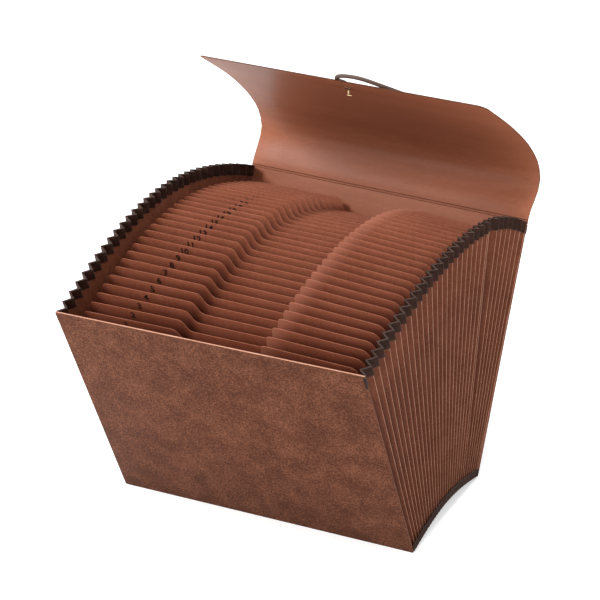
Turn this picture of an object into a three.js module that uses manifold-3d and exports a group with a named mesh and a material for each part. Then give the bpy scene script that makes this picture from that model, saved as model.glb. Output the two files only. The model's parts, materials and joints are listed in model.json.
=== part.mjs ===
// Expanding file folder: thirty-one pockets between two board covers, with a flap and an elastic loop.
// Millimetres, +Z up, front cover towards -Y.
import * as THREE from 'three';
import Module from 'manifold-3d';

// Sheet sizes
const WIDTH = 305;
const HEIGHT = 253.2;
const BOARD = 1.2;
const FLAP_BOARD = 1.0;
const CARD = 0.4;
const TAPE = 0.25;
const CLEARANCE = 0.3;
const TAPE_GAP = 0.25;
const COVER_CORNER = 1.4;
const FRONT_ROOM = 1.05;

// Number of pleats in each side gusset, and the first inner fold that carries a divider
const PLEATS = 31;
const FIRST_DIVIDER_FOLD = 2;

// Front cover: bottom edge on y = 0, leaning forward
const FRONT_LEAN = 24.4;

// Back cover: bottom right corner and its yaw, its lean at each side, and the level of its foot
const BACK_DEPTH = 155.3;
const BACK_YAW = -4.37;
const BACK_LEAN_LEFT = 19.9;
const BACK_LEAN_RIGHT = 22.7;
const FOOT_LEVEL = 0.4;

// Gussets: how far their folds stop below the covers' top edge, the arch under them, the depth of a pleat,
// how far the ridges stay inside the covers' sides, the one ridge that is tucked in,
// and how far the open fan leans to one side at the back
const GUSSET_DROP = 2.5;
const FOOT_RISE = 2.0;
const ARCH_RISE = 11.5;
const PLEAT_DEPTH_TOP = 7.2;
const PLEAT_DEPTH_BOTTOM = 9.1;
const PLEAT_ROWS = 4;
const RIDGE_INSET_TOP = 0.35;
const RIDGE_INSET_BOTTOM = 0.8;
const TUCKED_SIDE = 'right';
const TUCKED_RIDGE = 24;
const TUCK = 3.2;
const FAN_SWAY_TOP = 7.45;
const FAN_SWAY_BOTTOM = { left: 0.9, right: 0 };

// How the fan opens: its tops hang back by the lag, and its middle folds stand taller by the bow.
// The skews put the largest lag and bow nearer to the back cover.
const FAN_LAG = { left: 13.5, right: 0 };
const FAN_BOW = { left: 17.2, right: 10.8 };
const LAG_SKEW = 2.5;
const BOW_SKEW = { left: 1.2, right: 2.3 };

// Divider outline as [distance across from the left, distance down from the gusset top, corner radius],
// for a divider of the reference width
const DIVIDER_REFERENCE_WIDTH = 291;
const DIVIDER_ROOM_TOP = 0.65;
const DIVIDER_ROOM_BOTTOM = 1.15;
const DIVIDER_CORNERS = [
  [0, 36, 0], [6.8, 14.3, 4.5], [101.5, 13.8, 4.5], [108.2, 26, 4.5], [185.6, 26, 2.6], [187.8, 10.3, 4.2],
  [278.5, 14.6, 5.5], [285.5, 27, 5], [291, 42, 0],
];

// Tape folded over the gusset tops, at the feet, and round the cover corners
const TAPE_DROP = 11;
const FOOT_TAPE = 7.2;
const FOOT_TAPE_SKIN = 0.3;
const FOOT_TAPE_OUT = 0.8;
const FOOT_TOOTH = 0.35;
const FOOT_LIP = 9.5;
const FLOOR_ROOM = 1.6;
const CORNER_LAP = 3.2;

// Flap cross-section at each side as [distance back, height] from the score line
const FLAP_LEFT = [[0, 0], [6.5, 10.5], [20, 32.5], [15.5, 53], [1, 73], [-34.5, 105.5], [-90.5, 144.5]];
const FLAP_RIGHT = [[0, 0], [2.5, 5.5], [25, 30], [21.5, 49.5], [1.5, 75], [-37.5, 107.5], [-98.5, 149]];
const FLAP_STATIONS = 20;
const FLAP_CORNER_LEFT = 3.5;
const FLAP_CORNER_RIGHT = 10;

// Eyelet and elastic loop on the flap
const EYELET_FROM_EDGE = 25;
const EYELET_ACROSS = -0.85;
const EYELET_BORE = 3.4;
const EYELET_BARREL = 3.9;
const EYELET_FLANGE = 5.2;
const EYELET_HOLE = 4.2;
const CORD_RADIUS = 1.5;
const STRAND_APART = 3.3;
const LEFT_STRAND = EYELET_ACROSS - STRAND_APART / 2;
const RIGHT_STRAND = EYELET_ACROSS + STRAND_APART / 2;
// Loop as [across, beyond the free edge, off the inner face]
const CORD_PATH = [
  [LEFT_STRAND, -EYELET_FROM_EDGE, -0.9], [LEFT_STRAND, -EYELET_FROM_EDGE, 2.5],
  [-2.7, -23.6, 4.1], [-3.7, -20, 4.2], [-4.3, -14, 3.3], [-4.2, -8, 2.9],
  [-2.6, -1, 2.9], [2.6, 6.9, 2.9], [11.7, 12.9, 2.9], [23, 15.4, 2.9], [31.4, 13.4, 2.9], [38.8, 7.2, 2.9],
  [45.3, -1, 2.9], [52.3, -8.9, 2.9], [61, -20, 2.9], [74, -42, 2.9], [83, -68, 2.9], [84, -98, 2.9],
  [71, -125, 2.9], [45, -138, 2.9], [16, -134, 2.9], [-5, -114, 2.9], [-12, -84, 2.9],
  [-8, -56, 2.9], [-1.4, -38, 3.4], [0.4, -30, 4.2], [0.8, -26.4, 4.1],
  [RIGHT_STRAND, -EYELET_FROM_EDGE, 2.5], [RIGHT_STRAND, -EYELET_FROM_EDGE, -0.9],
];

const rad = (deg) => (deg * Math.PI) / 180;
const V = (x, y, z) => new THREE.Vector3(x, y, z);
const mix = (a, b, t) => a.clone().lerp(b, t);
const blend = (a, b, t) => a + (b - a) * t;

const group = new THREE.Group();
const meshes = [];

// Open outline with its corners rounded off; each point carries its own radius
function rounded(corners, steps = 4) {
  const path = new THREE.Path();
  const points = corners.map(([x, y]) => new THREE.Vector2(x, y));
  path.moveTo(points[0].x, points[0].y);
  for (let i = 1; i < corners.length - 1; i += 1) {
    const radius = corners[i][2];
    const before = points[i].clone().add(points[i - 1].clone().sub(points[i]).setLength(radius));
    const after = points[i].clone().add(points[i + 1].clone().sub(points[i]).setLength(radius));
    path.lineTo(before.x, before.y);
    path.quadraticCurveTo(points[i].x, points[i].y, after.x, after.y);
  }
  const end = points[points.length - 1];
  path.lineTo(end.x, end.y);
  return path.getPoints(steps).map((p) => [p.x, p.y]);
}

// Side faces between rings of equal size; the sides in turned are split along their other diagonal
function sideFaces(count, n, turned) {
  const faces = [];
  for (let i = 0; i < count - 1; i += 1) {
    for (let k = 0; k < n; k += 1) {
      const a = i * n + k;
      const b = i * n + ((k + 1) % n);
      if (turned.includes(k)) faces.push([a, b, a + n], [b, b + n, a + n]);
      else faces.push([a, b, b + n], [a, b + n, a + n]);
    }
  }
  return faces;
}

// Closed body through rings of equal size, capped with the given flat outline
function loft(rings, cap, turned = []) {
  const n = rings[0].length;
  const faces = sideFaces(rings.length, n, turned);
  const capFaces = THREE.ShapeUtils.triangulateShape(cap.map(([x, y]) => new THREE.Vector2(x, y)), []);
  const last = (rings.length - 1) * n;
  // A cap triangle must run against the side faces along the outline
  const forward = capFaces.some((f) => f.some((v, j) => f[(j + 1) % 3] === (v + 1) % n));
  for (const f of capFaces) {
    const g = forward ? f : [f[0], f[2], f[1]];
    faces.push([g[0], g[2], g[1]], [last + g[0], last + g[1], last + g[2]]);
  }
  return body(rings.flat(), faces);
}

// Closed sheet: the first half of each ring runs along one face and the second half back along the other,
// and both faces are split along the same diagonals, so that a twisted sheet keeps its thickness
function sheetLoft(rings) {
  const n = rings[0].length;
  const m = n / 2;
  const turned = [];
  for (let k = m; k < n - 1; k += 1) turned.push(k);
  const faces = sideFaces(rings.length, n, turned);
  const last = (rings.length - 1) * n;
  for (let k = 0; k < m - 1; k += 1) {
    const a = k;
    const b = k + 1;
    const c = n - 2 - k;
    const d = n - 1 - k;
    faces.push([a, c, b], [a, d, c], [last + a, last + b, last + c], [last + a, last + c, last + d]);
  }
  return body(rings.flat(), faces);
}

// Indexed geometry with its faces turned outwards
function body(points, faces) {
  let volume = 0;
  const cross = V(0, 0, 0);
  for (const [a, b, c] of faces) {
    cross.crossVectors(points[b], points[c]);
    volume += points[a].dot(cross);
  }
  const geometry = new THREE.BufferGeometry();
  const positions = points.flatMap((p) => [p.x, p.y, p.z]);
  geometry.setAttribute('position', new THREE.Float32BufferAttribute(positions, 3));
  geometry.setIndex(faces.flatMap(([a, b, c]) => (volume > 0 ? [a, b, c] : [a, c, b])));
  return geometry;
}

function add(name, geometry, color, metalness = 0, roughness = 0.8) {
  const mesh = new THREE.Mesh(geometry, new THREE.MeshStandardMaterial({ color, metalness, roughness }));
  mesh.name = name;
  meshes.push(mesh);
  group.add(mesh);
}

// Frame of the back cover
const yaw = rad(BACK_YAW);
const backAcross = V(Math.cos(yaw), Math.sin(yaw), 0);
const backInto = V(-Math.sin(yaw), Math.cos(yaw), 0);
const backFoot = V(WIDTH / 2, BACK_DEPTH, 0).addScaledVector(backAcross, -WIDTH / 2);
const inBack = (x, t, h) => backFoot.clone().addScaledVector(backAcross, x)
  .addScaledVector(backInto, t).add(V(0, 0, h));

// Ridge lines of the side gussets
const frontUp = V(0, -Math.sin(rad(FRONT_LEAN)), Math.cos(rad(FRONT_LEAN)));
const frontIn = V(0, Math.cos(rad(FRONT_LEAN)), Math.sin(rad(FRONT_LEAN)));
const gussetHeight = HEIGHT - GUSSET_DROP;
const fanDepth = { left: BACK_DEPTH - WIDTH * Math.sin(yaw), right: BACK_DEPTH };
const fanLean = { left: BACK_LEAN_LEFT, right: BACK_LEAN_RIGHT };
function ridge(side, s) {
  const sign = side === 'left' ? -1 : 1;
  const u = s / PLEATS;
  // The first and last folds keep clear of the covers
  const ahead = FRONT_ROOM * (1 - u) ** 6;
  const behind = (CLEARANCE + FLAP_BOARD) * u ** 6;
  const bottomY = u * fanDepth[side] + ahead - behind * 0.6;
  const lift = FOOT_RISE + ARCH_RISE * Math.sin(Math.PI * u);
  const frontTop = -gussetHeight * Math.sin(rad(FRONT_LEAN)) + ahead;
  const backTop = fanDepth[side] + gussetHeight * Math.sin(rad(fanLean[side])) - behind;
  const topY = blend(frontTop, backTop, u) - FAN_LAG[side] * Math.sin(Math.PI * u ** LAG_SKEW);
  const length = gussetHeight + FAN_BOW[side] * Math.sin(Math.PI * u ** BOW_SKEW[side]);
  const topZ = lift + Math.sqrt(length ** 2 - (topY - bottomY) ** 2);
  const topX = sign * (WIDTH / 2 - RIDGE_INSET_TOP) + FAN_SWAY_TOP * u ** 2;
  const bottomX = sign * (WIDTH / 2 - RIDGE_INSET_BOTTOM) + FAN_SWAY_BOTTOM[side] * u ** 2;
  return { top: V(topX, topY, topZ), bottom: V(bottomX, bottomY, lift) };
}

// Fold i of the zigzag: even folds are ridges, odd folds lie inside; one ridge is tucked in at its top
function fold(side, i) {
  if (i % 2 === 0) {
    const line = ridge(side, i / 2);
    if (side === TUCKED_SIDE && i === 2 * TUCKED_RIDGE) line.top.x -= TUCK;
    return line;
  }
  const a = ridge(side, (i - 1) / 2);
  const b = ridge(side, (i + 1) / 2);
  const top = mix(a.top, b.top, 0.5);
  const bottom = mix(a.bottom, b.bottom, 0.5);
  const inwards = side === 'left' ? 1 : -1;
  top.x += inwards * PLEAT_DEPTH_TOP;
  bottom.x += inwards * PLEAT_DEPTH_BOTTOM;
  return { top, bottom };
}

// Mitred sideways direction at each point of a zigzag line
function mitres(line, along) {
  return line.map((p, i) => {
    const sides = [];
    if (i > 0) sides.push(V(0, 0, 0).subVectors(p, line[i - 1]));
    if (i < line.length - 1) sides.push(V(0, 0, 0).subVectors(line[i + 1], p));
    const normals = sides.map((d) => V(0, 0, 0).crossVectors(along[i], d).normalize());
    if (normals.length === 1) return normals[0];
    const sum = normals[0].clone().add(normals[1]);
    return sum.divideScalar(1 + normals[0].dot(normals[1]));
  });
}

function gusset(side) {
  const folds = [];
  for (let i = 0; i <= 2 * PLEATS; i += 1) folds.push(fold(side, i));
  const along = folds.map((f) => f.top.clone().sub(f.bottom).normalize());
  const top = mitres(folds.map((f) => f.top), along);
  const bottom = mitres(folds.map((f) => f.bottom), along);
  // Point on fold i, down from its top and off the middle of the sheet
  const at = (i, down, off) => {
    const t = down / folds[i].top.distanceTo(folds[i].bottom);
    return mix(folds[i].top, folds[i].bottom, t).addScaledVector(mix(top[i], bottom[i], t), off);
  };
  const length = (i) => folds[i].top.distanceTo(folds[i].bottom);
  return { folds, at, length };
}

const gussets = { left: gusset('left'), right: gusset('right') };

// Covers
const coverShape = new THREE.Shape();
const half = WIDTH / 2;
coverShape.moveTo(-half + COVER_CORNER, 0);
coverShape.lineTo(half - COVER_CORNER, 0);
coverShape.absarc(half - COVER_CORNER, COVER_CORNER, COVER_CORNER, -Math.PI / 2, 0);
coverShape.absarc(half - COVER_CORNER, HEIGHT - COVER_CORNER, COVER_CORNER, 0, Math.PI / 2);
coverShape.absarc(-half + COVER_CORNER, HEIGHT - COVER_CORNER, COVER_CORNER, Math.PI / 2, Math.PI);
coverShape.absarc(-half + COVER_CORNER, COVER_CORNER, COVER_CORNER, Math.PI, Math.PI * 1.5);
const coverSettings = { depth: BOARD, bevelEnabled: false, curveSegments: 4 };
const frontGeometry = new THREE.ExtrudeGeometry(coverShape, coverSettings);
frontGeometry.applyMatrix4(new THREE.Matrix4().makeBasis(V(1, 0, 0), frontUp, frontIn.clone().negate()));
frontGeometry.translate(frontIn.x * BOARD, frontIn.y * BOARD, frontIn.z * BOARD);
add('front_cover', frontGeometry, 0x8a5a48);

// Back cover, ruled from its foot to the score line, with the inner edge of the score cut back
const backColumns = 6;
const scoreOpening = 1.5;
const scoreRoom = 0.95;
const scoreEnds = [BACK_LEAN_LEFT, BACK_LEAN_RIGHT].map(
  (lean) => V(0, HEIGHT * Math.sin(rad(lean)), HEIGHT * Math.cos(rad(lean))));
const scoreAt = (x) => {
  const score = mix(scoreEnds[0], scoreEnds[1], x / WIDTH + 0.5);
  return [score.y, score.z];
};
const backRings = [];
for (let c = 0; c <= backColumns; c += 1) {
  const x = -half + (WIDTH * c) / backColumns;
  const [t, h] = scoreAt(x);
  const length = Math.hypot(t, h);
  const up = [t / length, h / length];
  const out = [up[1], -up[0]];
  const p = (along, off) => inBack(
    x, up[0] * along + out[0] * off, up[1] * along + out[1] * off + FOOT_LEVEL);
  backRings.push([p(0, 0), p(length - scoreOpening, 0), p(length - scoreRoom, FLAP_BOARD), p(0, FLAP_BOARD)]);
}
add('back_cover', sheetLoft(backRings), 0x7a4a38);

// Flap
const flapCurves = [FLAP_LEFT, FLAP_RIGHT].map((rows, i) => new THREE.CatmullRomCurve3(
  rows.map(([t, h]) => scoreEnds[i].clone().add(V(0, t, h))), false, 'centripetal'));
flapCurves.forEach((c) => { c.arcLengthDivisions = 800; });
const flapLengths = flapCurves.map((c) => c.getLength());
const flapLength = (flapLengths[0] + flapLengths[1]) / 2;
// Point on the flap: across, distance before the free edge, off the inner face.
// Beyond the edge it runs on straight.
function onFlap(x, before, off) {
  const k = x / WIDTH + 0.5;
  const u = THREE.MathUtils.clamp(1 - before / flapLength, 0, 1);
  const ends = flapCurves.map((c) => c.getPointAt(u));
  const ways = flapCurves.map((c) => c.getTangentAt(u));
  const point = mix(ends[0], ends[1], k);
  const way = mix(ways[0], ways[1], k).normalize();
  const beyond = Math.max(0, -before);
  const t = point.y + way.y * beyond + way.z * off;
  const h = point.z + way.z * beyond - way.y * off;
  return inBack(x, t, h);
}
const flapBevel = 0.6;
const flapStations = [];
for (let i = 0; i < FLAP_STATIONS; i += 1) {
  flapStations.push(blend(flapLength - flapBevel, FLAP_CORNER_RIGHT, i / (FLAP_STATIONS - 1)));
}
[0.62, 0.33, 0.13, 0.03, 0].forEach((share) => flapStations.push(FLAP_CORNER_RIGHT * share));
const flapColumns = 10;
// How far the flap reaches to one side at a distance before its free edge, round the corner there
const flapReach = (radius, before) => {
  const d = Math.min(before, radius);
  return half - radius + Math.sqrt(radius ** 2 - (radius - d) ** 2);
};
const flapRings = flapStations.map((before, i) => {
  const left = -flapReach(FLAP_CORNER_LEFT, before);
  const right = flapReach(FLAP_CORNER_RIGHT, before);
  const inner = [];
  const outer = [];
  for (let c = 0; c <= flapColumns; c += 1) {
    const x = blend(left, right, c / flapColumns);
    inner.push(onFlap(x, i === 0 ? before - flapBevel : before, 0));
    outer.push(onFlap(x, before, FLAP_BOARD));
  }
  return inner.concat(outer.reverse());
});
const flapSolid = sheetLoft(flapRings);

// Hole for the eyelet
const eyeletPoint = onFlap(EYELET_ACROSS, EYELET_FROM_EDGE, 0);
const eyeletNormal = onFlap(EYELET_ACROSS, EYELET_FROM_EDGE, 1).sub(eyeletPoint).normalize();
const eyeletTurn = new THREE.Quaternion().setFromUnitVectors(V(0, 1, 0), eyeletNormal);
const wasm = await Module();
wasm.setup();
const { Manifold, Mesh } = wasm;
function toManifold(geometry) {
  return new Manifold(new Mesh({
    numProp: 3,
    vertProperties: Float32Array.from(geometry.attributes.position.array),
    triVerts: Uint32Array.from(geometry.index.array),
  }));
}
function fromManifold(solid) {
  const mesh = solid.getMesh();
  const geometry = new THREE.BufferGeometry();
  geometry.setAttribute('position', new THREE.Float32BufferAttribute(mesh.vertProperties, 3));
  geometry.setIndex(Array.from(mesh.triVerts));
  return geometry;
}
const roundSteps = 20;
const punchReach = 4;

// Points on a circle about the given axis, at a height along it
function circle(radius, height, turn, origin, steps) {
  const points = [];
  for (let i = 0; i < steps; i += 1) {
    const a = (2 * Math.PI * i) / steps;
    points.push(V(radius * Math.cos(a), height, radius * Math.sin(a)).applyQuaternion(turn).add(origin));
  }
  return points;
}

const disc = circle(1, 0, new THREE.Quaternion(), V(0, 0, 0), roundSteps).map((p) => [p.x, p.z]);
const punchRings = [-punchReach, punchReach].map(
  (height) => circle(EYELET_HOLE, height, eyeletTurn, eyeletPoint, roundSteps));
const punch = toManifold(loft(punchRings, disc));
add('flap', fromManifold(toManifold(flapSolid).subtract(punch)), 0x6b3a2b);

// Eyelet: a barrel with a flange on each face of the flap
const flangeGap = 0.3;
const flangeThick = 0.4;
const eyeletProfile = [
  [EYELET_BORE, -flangeGap - flangeThick], [EYELET_FLANGE, -flangeGap - flangeThick],
  [EYELET_FLANGE, -flangeGap], [EYELET_BARREL, -flangeGap],
  [EYELET_BARREL, FLAP_BOARD + flangeGap], [EYELET_FLANGE, FLAP_BOARD + flangeGap],
  [EYELET_FLANGE, FLAP_BOARD + flangeGap + flangeThick],
  [EYELET_BORE, FLAP_BOARD + flangeGap + flangeThick],
];
function revolved(profile, turn, origin, steps) {
  const rings = profile.map(([r, h]) => circle(r, h, turn, origin, steps));
  const faces = sideFaces(rings.length + 1, steps, []).map((f) => f.map((v) => v % (rings.length * steps)));
  return body(rings.flat(), faces);
}
add('eyelet', revolved(eyeletProfile, eyeletTurn, eyeletPoint, roundSteps), 0xb08a50, 0.9, 0.35);

// Metal toggle on the end of the elastic: a shank under the eyelet and a bar across it
const toggleRadius = 0.75;
const toggleChamfer = 0.4;
const toggleSides = 10;
function rod(name, from, to) {
  const axis = to.clone().sub(from);
  const turn = new THREE.Quaternion().setFromUnitVectors(V(0, 1, 0), axis.clone().normalize());
  const length = axis.length();
  const profile = [
    [toggleRadius * 0.7, 0], [toggleRadius, toggleChamfer], [toggleRadius, length - toggleChamfer],
    [toggleRadius * 0.7, length],
  ];
  const cap = circle(1, 0, new THREE.Quaternion(), V(0, 0, 0), toggleSides).map((p) => [p.x, p.z]);
  add(name, loft(profile.map(([r, h]) => circle(r, h, turn, from, toggleSides)), cap), 0xd8b27a, 0.9, 0.3);
}
const SHANK_LENGTH = 4.2;
const BAR_LEFT = 1.6;
const BAR_RIGHT = 3.8;
const under = onFlap(RIGHT_STRAND, EYELET_FROM_EDGE, -1.6);
const barDrop = SHANK_LENGTH + toggleRadius + CLEARANCE;
rod('toggle_shank', under, under.clone().add(V(0, 0, -SHANK_LENGTH)));
rod('toggle_bar', under.clone().add(V(-BAR_LEFT, 0, -barDrop)), under.clone().add(V(BAR_RIGHT, 0, -barDrop)));

// Elastic loop
const cordCurve = new THREE.CatmullRomCurve3(
  CORD_PATH.map(([x, beyond, off]) => onFlap(x, -beyond, off)), false, 'centripetal');
cordCurve.arcLengthDivisions = 1200;
const cordSteps = 76;
const cordSides = 8;
const cordFrames = cordCurve.computeFrenetFrames(cordSteps, false);
const cordCap = circle(1, 0, new THREE.Quaternion(), V(0, 0, 0), cordSides).map((p) => [p.x, p.z]);
const cordRings = [];
for (let i = 0; i <= cordSteps; i += 1) {
  const centre = cordCurve.getPointAt(i / cordSteps);
  cordRings.push(cordCap.map(([p, q]) => centre.clone()
    .addScaledVector(cordFrames.normals[i], CORD_RADIUS * p)
    .addScaledVector(cordFrames.binormals[i], CORD_RADIUS * q)));
}
add('elastic_cord', loft(cordRings, cordCap), 0x4a372e);

// Side gussets with the tape folded over their tops and the tape at their feet
const sheet = CARD / 2;
for (const [name, side] of [['left', -1], ['right', 1]]) {
  const { folds, at, length } = gussets[name];
  const rings = folds.map((_, i) => {
    const face = [];
    const other = [];
    for (let r = 0; r <= PLEAT_ROWS; r += 1) {
      face.push(at(i, (length(i) * r) / PLEAT_ROWS, sheet));
      other.unshift(at(i, (length(i) * r) / PLEAT_ROWS, -sheet));
    }
    return face.concat(other);
  });
  add(`gusset_${name}`, sheetLoft(rings), 0x7a4030);

  const a = sheet + TAPE_GAP;
  const b = a + TAPE;
  const section = [
    [b, TAPE_DROP], [b, -TAPE_GAP - TAPE], [-b, -TAPE_GAP - TAPE], [-b, TAPE_DROP],
    [-a, TAPE_DROP], [-a, -TAPE_GAP], [a, -TAPE_GAP], [a, TAPE_DROP],
  ];
  const tapeRings = folds.map((_, i) => section.map(([off, down]) => at(i, down, off)));
  add(`top_tape_${name}`, loft(tapeRings, section, [0, 4]), 0x3a2c2a);

  // The foot tape bridges the ridges and turns under them
  const skin = FOOT_TAPE_SKIN;
  const foot = [
    [CLEARANCE, -FOOT_TAPE], [CLEARANCE, 2 * skin], [-FOOT_LIP, 2 * skin], [-FOOT_LIP, skin], [0, skin],
    [0, -FOOT_TAPE],
  ];
  const footRings = [];
  for (let i = 0; i <= 2 * PLEATS; i += 1) {
    const s = i / 2;
    const { top, bottom } = ridge(name, s);
    const down = bottom.clone().sub(top).normalize();
    const tooth = i % 2 === 0 ? FOOT_TAPE_OUT + FOOT_TOOTH : FOOT_TAPE_OUT;
    footRings.push(foot.map(([out, d]) => (
      bottom.clone().addScaledVector(down, d).add(V(side * (out + tooth), 0, 0)))));
  }
  add(`foot_tape_${name}`, loft(footRings, foot), 0x3a2c2a);
}

// Pleated floor of the pockets
const floorEnd = { left: [], right: [] };
for (let i = 0; i <= 2 * PLEATS; i += 1) {
  for (const [name, side] of [['left', -1], ['right', 1]]) {
    const s = i / 2;
    const { top, bottom } = ridge(name, s);
    const up = top.clone().sub(bottom).normalize();
    const point = bottom.clone().addScaledVector(up, i % 2 === 0 ? 3 * CLEARANCE : PLEAT_DEPTH_BOTTOM);
    point.x -= side * (PLEAT_DEPTH_BOTTOM + FLOOR_ROOM);
    floorEnd[name].push(point);
  }
}
const floorAlong = floorEnd.left.map((p, i) => floorEnd.right[i].clone().sub(p).normalize());
const floorMitre = { left: mitres(floorEnd.left, floorAlong), right: mitres(floorEnd.right, floorAlong) };
const floorRings = floorEnd.left.map((_, i) => [['left', 1], ['right', 1], ['right', -1], ['left', -1]].map(
  ([name, sign]) => floorEnd[name][i].clone().addScaledVector(floorMitre[name][i], sign * sheet)));
add('pocket_floor', sheetLoft(floorRings), 0x6e3a2b);

const dividerTop = rounded(DIVIDER_CORNERS);

// Dividers, each between one inner fold of the left gusset and the same fold of the right one
for (let j = FIRST_DIVIDER_FOLD; j <= PLEATS; j += 1) {
  const i = 2 * j - 1;
  const left = gussets.left.folds[i];
  const right = gussets.right.folds[i];
  const leftDown = left.bottom.clone().sub(left.top).normalize();
  const rightDown = right.bottom.clone().sub(right.top).normalize();
  const span = Math.min(left.top.distanceTo(left.bottom), right.top.distanceTo(right.bottom));
  const bottom = span - PLEAT_DEPTH_BOTTOM - FLOOR_ROOM;
  const outline = dividerTop.concat([[DIVIDER_REFERENCE_WIDTH, bottom * 0.5], [DIVIDER_REFERENCE_WIDTH, bottom],
    [DIVIDER_REFERENCE_WIDTH * 0.5, bottom], [0, bottom], [0, bottom * 0.5]]);
  const place = ([u, v]) => {
    const a = left.top.clone().addScaledVector(leftDown, v);
    const b = right.top.clone().addScaledVector(rightDown, v);
    const across = b.clone().sub(a).normalize();
    const inset = blend(DIVIDER_ROOM_TOP, DIVIDER_ROOM_BOTTOM, v / span);
    a.addScaledVector(across, inset);
    b.addScaledVector(across, -inset);
    return mix(a, b, u / DIVIDER_REFERENCE_WIDTH);
  };
  const normal = right.top.clone().sub(left.top).cross(leftDown).normalize();
  const middle = outline.map(place);
  const rings = [1, -1].map((sign) => middle.map((p) => p.clone().addScaledVector(normal, sign * sheet)));
  add(`divider_${String(j - FIRST_DIVIDER_FOLD + 1).padStart(2, '0')}`, loft(rings, outline), 0x9a5a45);
}

// Tape down the covers' sides at their upper corners; at the back it is lapped round the outer face
const tapeOut = 0.2;
for (const [name, side] of [['left', -1], ['right', 1]]) {
  const strip = [
    [tapeOut + TAPE, -BOARD], [tapeOut + TAPE, -tapeOut], [tapeOut, -tapeOut], [tapeOut, -BOARD],
  ];
  const rings = [HEIGHT - COVER_CORNER - 0.5, HEIGHT - TAPE_DROP - 1].map((v) => strip.map(
    ([x, f]) => V(side * (half + x), 0, 0).addScaledVector(frontUp, v).addScaledVector(frontIn, -f)));
  add(`front_corner_tape_${name}`, loft(rings, strip), 0x3a2c2a);
  const lap = [
    [-CORNER_LAP, tapeOut + TAPE], [tapeOut + TAPE, tapeOut + TAPE], [tapeOut + TAPE, -FLAP_BOARD],
    [tapeOut, -FLAP_BOARD], [tapeOut, tapeOut], [-CORNER_LAP, tapeOut],
  ];
  const [t, h] = scoreAt(side * half);
  const length = Math.hypot(t, h);
  const lapRings = [4, TAPE_DROP + 2].map((drop) => lap.map(([x, f]) => {
    const along = length - drop;
    const off = FLAP_BOARD + f;
    const back = (t * along + h * off) / length;
    return inBack(side * (half + x), back, (h * along - t * off) / length + FOOT_LEVEL);
  }));
  add(`back_corner_tape_${name}`, loft(lapRings, lap), 0x3a2c2a);
}

// Centre the whole on the origin, standing on z = 0
const box = new THREE.Box3().setFromObject(group);
const shift = V(-(box.min.x + box.max.x) / 2, -(box.min.y + box.max.y) / 2, -box.min.z);
meshes.forEach((mesh) => mesh.geometry.translate(shift.x, shift.y, shift.z));

export default group;
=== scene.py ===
"""Looks of the expanding file folder: materials, fine pieces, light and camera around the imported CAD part."""

import json
import logging
import math
from dataclasses import dataclass
from enum import Enum
from typing import Optional, Sequence

import bmesh
import bpy
from mathutils import Matrix, Vector

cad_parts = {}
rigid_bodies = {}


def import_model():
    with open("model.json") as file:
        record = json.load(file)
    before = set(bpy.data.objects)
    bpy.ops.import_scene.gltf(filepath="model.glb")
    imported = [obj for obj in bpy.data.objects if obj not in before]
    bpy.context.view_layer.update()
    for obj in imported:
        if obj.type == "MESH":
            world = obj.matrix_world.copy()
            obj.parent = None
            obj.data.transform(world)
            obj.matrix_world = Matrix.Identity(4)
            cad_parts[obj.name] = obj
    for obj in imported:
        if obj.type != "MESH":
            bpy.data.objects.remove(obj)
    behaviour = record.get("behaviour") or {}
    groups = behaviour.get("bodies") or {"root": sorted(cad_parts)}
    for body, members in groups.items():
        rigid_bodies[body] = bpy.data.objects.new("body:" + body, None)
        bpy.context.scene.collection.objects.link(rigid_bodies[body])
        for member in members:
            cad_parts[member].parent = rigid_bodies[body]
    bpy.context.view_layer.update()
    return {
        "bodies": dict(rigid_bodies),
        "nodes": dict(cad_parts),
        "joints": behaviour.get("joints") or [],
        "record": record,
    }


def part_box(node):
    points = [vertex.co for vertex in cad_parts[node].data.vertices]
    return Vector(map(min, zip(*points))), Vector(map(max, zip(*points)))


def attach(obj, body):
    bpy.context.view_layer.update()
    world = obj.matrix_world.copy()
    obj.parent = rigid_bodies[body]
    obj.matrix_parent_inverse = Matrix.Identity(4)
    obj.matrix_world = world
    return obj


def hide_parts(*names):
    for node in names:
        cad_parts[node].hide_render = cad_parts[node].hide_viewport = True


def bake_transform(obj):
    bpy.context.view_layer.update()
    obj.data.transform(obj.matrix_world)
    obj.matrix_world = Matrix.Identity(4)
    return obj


LOG = logging.getLogger("folder")
Colour = tuple[float, float, float]
Point = tuple[float, float, float]

MM = 0.001
DIVIDER_COUNT = 30
SIDES = ("left", "right")

# The numbers' place on each divider, and how far they drift to the right from one to the next
NUMERAL_ACROSS = -100.1 * MM
NUMERAL_DRIFT = 0.7 * MM
NUMERAL_DROP = 6.2 * MM
NUMERAL_SIZE = 9.4 * MM
NUMERAL_LIFT = 0.18 * MM
NUMERAL_PROUD = 0.03 * MM
NUMERAL_WEIGHT = 0.2 * MM
NUMERAL_ROUNDNESS = 4
EDGE_SEARCH_STEP = 0.2 * MM
RAY_RUN_UP = 50 * MM

# The tape's lap on the front cover's face
FRONT_LEAN = math.radians(24.4)
COVER_HEIGHT = 253.2 * MM
LAP_WIDTH = 2.8 * MM
LAP_LENGTH = 15.0 * MM
LAP_DROP = 1.5 * MM
LAP_PROUD = 0.25 * MM
LAP_OVERHANG = 0.4 * MM

# The share of its diameter that the cord keeps in the eyelet, and how far from there it is free
CORD_SQUEEZE = 0.79
CORD_FREE = 6.0 * MM

# Widths of the rounded edges and creases
COVER_EDGE = 0.45 * MM
BOARD_EDGE = 0.3 * MM
CARD_EDGE = 0.12 * MM
LAP_EDGE = 0.08 * MM
PLEAT_CREASE = 0.48 * MM
TAPE_CREASE = 0.16 * MM
OUTWARD_CREASE = math.radians(30)

# The largest twist of a folded sheet's quads, in degrees, and how near corners are welded
FOLDED_TWIST = 15.0
WELD_DISTANCE = 0.01 * MM

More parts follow.
